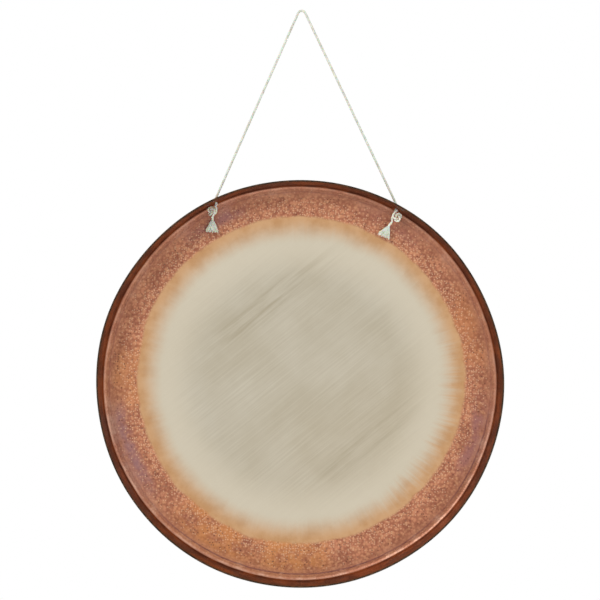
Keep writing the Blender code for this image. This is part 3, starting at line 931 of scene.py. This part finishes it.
def scraped_centre(nodes, sheet, tone):
    """Colour of the plain centre, scraped along one way and with painted shade towards the lower right, and
    the noise of its fine scrapes.
    """
    centre = nodes.mix(nodes.step(sheet.broad, 0.30, 0.70), tone, linear(189, 178, 155))
    # Painted shade: the centre darker and warmer towards the lower right.
    lower_right_shade = nodes.step(nodes.vector("DOT_PRODUCT", sheet.flat, (0.62, -0.78, 0.0)), -0.05, 0.22)
    centre = nodes.mix(nodes.times(lower_right_shade, 0.22), centre, linear(190, 168, 132))
    rotate = nodes.add("ShaderNodeVectorRotate", rotation_type="Z_AXIS")
    nodes.give(rotate.inputs["Vector"], sheet.flat)
    rotate.inputs["Angle"].default_value = math.radians(SCRAPE_ANGLE)
    turned = rotate.outputs[0]
    scrape = nodes.noise(nodes.vector("MULTIPLY", turned, (9.0, 380.0, 1.0)), 1.0, 3.0, 0.6)
    coarse = nodes.noise(nodes.vector("MULTIPLY", turned, (6.0, 90.0, 1.0)), 1.0, 3.0, 0.6)
    centre = nodes.mix(nodes.step(scrape, 0.40, 0.78, 0.0, 0.20), centre, linear(160, 148, 122))
    centre = nodes.mix(nodes.step(scrape, 0.52, 0.25, 0.0, 0.16), centre, linear(222, 216, 196))
    split = nodes.add("ShaderNodeSeparateXYZ")
    nodes.give(split.inputs[0], turned)

    def near(value, middle, reach, full):
        """1 within this share of the reach from the middle, and 0 beyond the reach."""
        return nodes.step(nodes.math("ABSOLUTE", nodes.minus(value, middle)), reach, reach * full)

    for along, across, reach, breadth, strength in SCRAPES:
        band = near(split.outputs[1], across, breadth, 0.2)
        span = near(split.outputs[0], along, reach, 0.5)
        dark = nodes.times(band, span, nodes.step(coarse, 0.42, 0.62))
        centre = nodes.mix(nodes.times(dark, strength), centre, linear(160, 147, 120))
    pale = nodes.step(sheet.inner, *PALE_FADE, 0.0, 0.75)
    return nodes.mix(pale, centre, linear(216, 204, 180)), scrape


def warm_band(nodes, sheet, tone, centre, ring):
    """The front from its centre to the hammered ring, with a band that fades inwards in streaks."""
    across = [nodes.vector("DOT_PRODUCT", sheet.way, axis) for axis in ((60.0, 0.0, 0.0), (0.0, 60.0, 0.0))]
    streak = nodes.noise(nodes.combine(*across, nodes.times(sheet.radius, 8.0)), 0.8, 3.0)
    streaky = nodes.plus(nodes.times(facing(nodes, sheet, -18, 10, 50), 0.024), 0.007)
    fade = nodes.plus(sheet.inner, nodes.shift(streak, streaky))
    band = nodes.mix(nodes.step(sheet.blotch, 0.35, 0.68), tone, linear(196, 147, 100))
    front = nodes.mix(nodes.step(fade, *BAND_FADE), centre, band)
    return nodes.mix(nodes.step(sheet.inner, *RING_FADE), front, ring)


def corner_ring(nodes, sheet, front):
    """The front with the plainer ring at its corner, and that ring's dark line of painted shade, as the
    shade of a slight groove.
    """
    plainer = nodes.mix(nodes.step(sheet.blotch, 0.35, 0.7), linear(196, 130, 98), linear(212, 150, 116))
    outer = nodes.plus(sheet.radius, nodes.shift(sheet.blotch, 0.004))
    front = nodes.mix(nodes.times(nodes.step(outer, *PLAIN_FADE), 0.50), front, plainer)
    # Painted shade: a dark line round the corner ring, as the shade of a slight groove, fullest on the right
    # and below.
    groove_shade_at = nodes.math("ABSOLUTE", nodes.minus(outer, GROOVE_SHADE_RADIUS))
    right, below = facing(nodes, sheet, 338, 6, 20), facing(nodes, sheet, -90, 20, 70)
    groove_shade_on = nodes.math("MAXIMUM", nodes.math("MAXIMUM", right, below), 0.35)
    line = nodes.times(nodes.step(groove_shade_at, 0.0016, 0.0004), nodes.times(groove_shade_on, 0.7))
    front = nodes.mix(line, front, linear(120, 74, 74))
    speckle = nodes.step(nodes.noise(sheet.flat, 95.0, 3.0, 0.7), 0.42, 0.62)
    mottle = nodes.times(nodes.step(outer, *MOTTLE_FADE), speckle)
    return nodes.mix(nodes.times(mottle, 0.35), front, linear(182, 112, 88))


def wall_and_lip(nodes, sheet, tone, front):
    """The front with the dark wall round it, dark from its unpolished bronze and from painted shade, the
    painted highlight along the edge between them, and the lip.
    """
    rust = nodes.noise(sheet.place, 26.0, 4.0, 0.6)
    # Partly painted shade: the wall is dark from its unpolished bronze and from the shade inside the rim,
    # painted into its colour.
    wall = nodes.mix(nodes.step(rust, 0.40, 0.66), linear(88, 40, 14), tone)
    wall = nodes.mix(nodes.step(sheet.fine, 0.50, 0.80, 0.0, 0.5), wall, linear(64, 32, 18))
    wall_at = nodes.plus(sheet.rise, nodes.shift(sheet.blotch, 0.002))
    front = nodes.mix(nodes.step(wall_at, *SHADED_WALL_FADE), front, wall)
    # Painted highlight: a light line along the corner between the front and the wall.
    highlight = nodes.mix(nodes.step(sheet.blotch, 0.35, 0.65), linear(178, 118, 92), linear(218, 168, 142))
    highlight_at = nodes.plus(sheet.rise, nodes.shift(sheet.blotch, 0.003))
    highlight_on = nodes.times(nodes.step(highlight_at, *HIGHLIGHT_FADE_IN), nodes.step(highlight_at, *HIGHLIGHT_FADE_OUT))
    # The painted highlight is strongest at the bottom, where the corner faces the light from above.
    highlight_on = nodes.times(highlight_on, nodes.plus(0.35, nodes.times(sheet.low, 0.5)))
    front = nodes.mix(highlight_on, front, highlight)
    lip = nodes.mix(nodes.step(sheet.fine, 0.4, 0.7), linear(50, 34, 18), linear(92, 62, 36))
    return nodes.mix(nodes.step(sheet.rise, *LIP_FADE), front, lip)


def bronze_group():
    """Shader group: the pan's zones by radius, angle and height, as colour, roughness and height."""
    nodes, given, end = new_group(
        "ShaderNodeTree", "Hammered bronze",
        [("Place", "NodeSocketVector", None)]
        + [(zone, "NodeSocketColor", WHITE) for zone in ("Centre", "Band", "Ring", "Wall")],
        [("Colour", "NodeSocketColor", None), ("Roughness", "NodeSocketFloat", None),
         ("Height", "NodeSocketFloat", None)],
    )
    sheet = sheet_values(nodes, given["Place"])
    ring, distance = hammered_ring(nodes, sheet, given["Ring"])
    centre, scrape = scraped_centre(nodes, sheet, given["Centre"])
    front = warm_band(nodes, sheet, given["Band"], centre, ring)
    front = corner_ring(nodes, sheet, front)
    colour = wall_and_lip(nodes, sheet, given["Wall"], front)
    rough = nodes.plus(nodes.step(sheet.inner, *DULL_FADE, 0.40, 0.46), nodes.shift(sheet.fine, 0.16))
    hammered = nodes.step(sheet.inner, *DENT_FADE)
    dents = nodes.times(nodes.step(distance, 0.50, 0.05), nodes.times(hammered, -0.45))
    scrapes = nodes.times(scrape, nodes.minus(1.0, hammered))
    height = nodes.plus(dents, nodes.times(scrapes, 0.22), nodes.times(sheet.grain, 0.22))
    for socket, value in zip(end.inputs, (colour, rough, height)):
        nodes.give(socket, value)
    return nodes.tree


def new_material(name, distance, strength, **plain_values):
    """A material with a bump of this distance and strength, and plain values by socket name: (the
    material, its Nodes, its shader, its bump)."""
    material = bpy.data.materials.new(name)
    material.use_nodes = True
    nodes = Nodes(material.node_tree)
    shader = material.node_tree.nodes["Principled BSDF"]
    for label, value in plain_values.items():
        shader.inputs[label.replace("_", " ").title()].default_value = value
    bump = nodes.add("ShaderNodeBump")
    bump.inputs["Distance"].default_value, bump.inputs["Strength"].default_value = distance, strength
    nodes.give(shader.inputs["Normal"], bump.outputs[0])
    return material, nodes, shader, bump


def bronze_material(settings):
    """The gong's bronze, with the colours of its zones."""
    material, nodes, shader, bump = new_material("gong bronze", 0.0005, 0.55, metallic=0.55)
    place = nodes.add("ShaderNodeAttribute", attribute_name="gong_place")
    zones = nodes.add("ShaderNodeGroup", node_tree=bronze_group())
    nodes.give(zones.inputs["Place"], place.outputs["Vector"])
    colours = (settings.centre_colour, settings.band_colour, settings.ring_colour, settings.wall_colour)
    for zone, colour in zip(("Centre", "Band", "Ring", "Wall"), colours):
        zones.inputs[zone].default_value = tuple(colour)
    nodes.give(bump.inputs["Height"], zones.outputs["Height"])
    nodes.give(shader.inputs["Base Color"], zones.outputs["Colour"])
    nodes.give(shader.inputs["Roughness"], zones.outputs["Roughness"])
    return material


# The cotton

def cotton_group():
    """Shader group: unbleached cotton, lighter and darker by thread, with a fine fibre height."""
    nodes, given, end = new_group(
        "ShaderNodeTree", "Cotton",
        [("Light", "NodeSocketColor", (0.8, 0.8, 0.7, 1)), ("Dark", "NodeSocketColor", (0.4, 0.4, 0.3, 1)),
         ("Fibre", "NodeSocketFloat", 900.0)],
        [("Colour", "NodeSocketColor", None), ("Height", "NodeSocketFloat", None)],
    )
    place = nodes.add("ShaderNodeTexCoord").outputs["Object"]
    patch = nodes.noise(place, 160.0, 3.0)
    fibre = nodes.noise(place, given["Fibre"], 3.0, 0.65)
    share = nodes.plus(nodes.times(patch, 0.55), nodes.times(fibre, 0.45))
    nodes.give(end.inputs[0], nodes.mix(nodes.step(share, 0.34, 0.62), given["Dark"], given["Light"]))
    nodes.give(end.inputs[1], fibre)
    return nodes.tree


def cotton_material(name, light, dark):
    """Cotton that goes from the light colour to the dark one by thread."""
    material, nodes, shader, bump = new_material(
        name, 0.0002, 0.5, roughness=0.92, sheen_weight=0.25, subsurface_weight=0.35, subsurface_scale=0.002
    )
    group = nodes.add("ShaderNodeGroup", node_tree=bpy.data.node_groups.get("Cotton") or cotton_group())
    group.inputs["Light"].default_value, group.inputs["Dark"].default_value = tuple(light), dark
    nodes.give(bump.inputs["Height"], group.outputs["Height"])
    nodes.give(shader.inputs["Base Color"], group.outputs["Colour"])
    return material


# The add-on

class TAMGONG_OT_stage(bpy.types.Operator):
    """Sets the camera, the soft lights and the white surroundings"""

    bl_idname = "tam_gong.stage"
    bl_label = "Set the stage"

    def execute(self, context):
        self.add_camera(context.scene)
        for lamp in LAMPS:
            self.add_lamp(context.scene, *lamp)
        self.add_world(context.scene)
        context.scene.view_settings.view_transform = "Standard"
        return {"FINISHED"}

    def add_camera(self, scene):
        """The camera, looking along +Y with a slight roll."""
        roll = math.radians(CAMERA_ROLL)
        camera = bpy.data.cameras.new("camera")
        camera.lens, camera.sensor_width = CAMERA_LENS, SENSOR_WIDTH
        view = bpy.data.objects.new("camera", camera)
        turn = Matrix((
            (math.cos(roll), -math.sin(roll), 0), (0, 0, -1), (math.sin(roll), math.cos(roll), 0),
        ))
        view.matrix_world = Matrix.Translation(CAMERA_PLACE) @ turn.to_4x4()
        scene.collection.objects.link(view)
        scene.camera = view

    def add_lamp(self, scene, name, place, size, power):
        """A round lamp that faces the gong."""
        lamp = bpy.data.lights.new(name, "AREA")
        lamp.shape, lamp.size, lamp.energy = "DISK", size, power
        item = bpy.data.objects.new(name, lamp)
        item.location = place
        item.rotation_euler = (Vector(place) - Vector(LAMP_AIM)).to_track_quat("Z", "Y").to_euler()
        scene.collection.objects.link(item)

    def add_world(self, scene):
        """Plain light from all round, which the camera sees as white."""
        world = bpy.data.worlds.new("studio")
        world.use_nodes = True
        scene.world = world
        nodes = Nodes(world.node_tree)
        plain_light = world.node_tree.nodes["Background"]
        plain_light.inputs["Color"].default_value = ROOM_COLOUR
        plain_light.inputs["Strength"].default_value = ROOM_STRENGTH
        white = nodes.add("ShaderNodeBackground")
        white.inputs["Color"].default_value = WHITE
        ray = nodes.add("ShaderNodeLightPath")
        pick = nodes.add("ShaderNodeMixShader")
        nodes.give(pick.inputs[0], ray.outputs["Is Camera Ray"])
        nodes.give(pick.inputs[1], plain_light.outputs[0])
        nodes.give(pick.inputs[2], white.outputs[0])
        nodes.give(world.node_tree.nodes["World Output"].inputs["Surface"], pick.outputs[0])


class TAMGONG_OT_cord(bpy.types.Operator):
    """Hangs the cord from one hole over the hook to the other"""

    bl_idname = "tam_gong.cord"
    bl_label = "Add the cord"

    def execute(self, context):
        settings = context.scene.tam_gong
        line = smooth_line(free_cord_route(bend_points()), CORD_DIAMETER * 0.75)
        material = cotton_material("cotton cord", settings.cord_colour, linear(186, 186, 170))
        cord = add_line("cord", line, [CORD_DIAMETER / 2] * len(line))
        cord = lay_up(cord, settings, material)
        finish_piece(cord, material, "hanger", "hanging_cord")
        return {"FINISHED"}


class TAMGONG_OT_knots(bpy.types.Operator):
    """Ties the two stopper knots inside the pan"""

    bl_idname = "tam_gong.knots"
    bl_label = "Add the stopper knots"

    def execute(self, context):
        settings = context.scene.tam_gong
        place = hanging_frame()
        material = cotton_material("knotted cotton", settings.knot_colour, linear(226, 221, 202))
        for name, side, *ways in KNOTS:
            line, radii = knot_way(side, *ways)
            knot = add_line(f"knot_{name}", [place @ point for point in line], radii)
            knot = lay_up(knot, settings, material)
            finish_piece(knot, material, "gong", f"stopper_knot_{name}")
        return {"FINISHED"}


class TAMGONG_OT_frayed_ends(bpy.types.Operator):
    """Unravels the two ends of the cord"""

    bl_idname = "tam_gong.frayed_ends"
    bl_label = "Add the frayed ends"

    def execute(self, context):
        settings = context.scene.tam_gong
        place = hanging_frame()
        material = cotton_material("frayed cotton", settings.frayed_colour, linear(224, 219, 198))
        group = bpy.data.node_groups.get("Frayed end") or fray_group()
        for name, side, *ways in KNOTS:
            end, way = from_hole(side, *ways[-2]), hanging_way(*ways[-1])
            flat = Vector((0, -1, 0))
            flat = (flat - way * flat.dot(way)).normalized()
            brush = add_mesh(f"frayed_{name}", [(0, 0, 0)])
            brush = run_group(
                brush, group, threads=settings.threads, length=BRUSH_LENGTH, width=BRUSH_WIDTH,
                thickness=BRUSH_THICKNESS, neck=TAIL_DIAMETER, thread=settings.thread_diameter,
                ragged=BRUSH_RAGGED, seed=BRUSH_SEED + side, material=material,
            )
            turn = Matrix((flat.cross(way), flat, way)).transposed().to_4x4()
            brush.data.transform(place @ Matrix.Translation(end + way * FIT_GAP) @ turn)
            finish_piece(brush, material, "gong", f"frayed_end_{name}")
        return {"FINISHED"}


class TAMGONG_OT_disc(bpy.types.Operator):
    """Turns and hammers the bronze sheet, and bores its two cord holes"""

    bl_idname = "tam_gong.disc"
    bl_label = "Add the disc"

    def execute(self, context):
        settings = context.scene.tam_gong
        disc = sheet_mesh("disc", settings.turn_steps)
        mark_hammered(disc.data)
        disc = run_group(
            disc, hammer_group(), depth=settings.hammer_depth, cell=settings.hammer_cell,
            ripple=settings.ripple,
        )
        for side in (-1, 1):
            disc = bore_hole(disc, side)
        mark_place(disc.data)
        disc.data.transform(hanging_frame())
        disc.data.shade_smooth()
        finish_piece(disc, bronze_material(settings), "gong", "gong_disc")
        return {"FINISHED"}


class TAMGONG_PT_panel(bpy.types.Panel):
    """The gong's sizes, colours and pieces, in the sidebar"""

    bl_idname = "TAMGONG_PT_panel"
    bl_label = "Tam gong"
    bl_space_type = "VIEW_3D"
    bl_region_type = "UI"
    bl_category = "Tam gong"

    def draw(self, context):
        settings = context.scene.tam_gong
        for name in TamGongSettings.__annotations__:
            self.layout.prop(settings, name)
        for operator in OPERATORS:
            self.layout.operator(operator.bl_idname)


OPERATORS = (
    TAMGONG_OT_stage, TAMGONG_OT_cord, TAMGONG_OT_knots, TAMGONG_OT_frayed_ends, TAMGONG_OT_disc,
)
CLASSES = (TamGongSettings, *OPERATORS, TAMGONG_PT_panel)


def register():
    for item in CLASSES:
        bpy.utils.register_class(item)
    bpy.types.Scene.tam_gong = bpy.props.PointerProperty(type=TamGongSettings)


def unregister():
    del bpy.types.Scene.tam_gong
    for item in reversed(CLASSES):
        bpy.utils.unregister_class(item)


def main():
    """Adds every piece in turn."""
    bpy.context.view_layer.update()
    register()
    for operator in OPERATORS:
        group, name = operator.bl_idname.split(".")
        getattr(getattr(bpy.ops, group), name)()


if __name__ == "__main__":
    main()
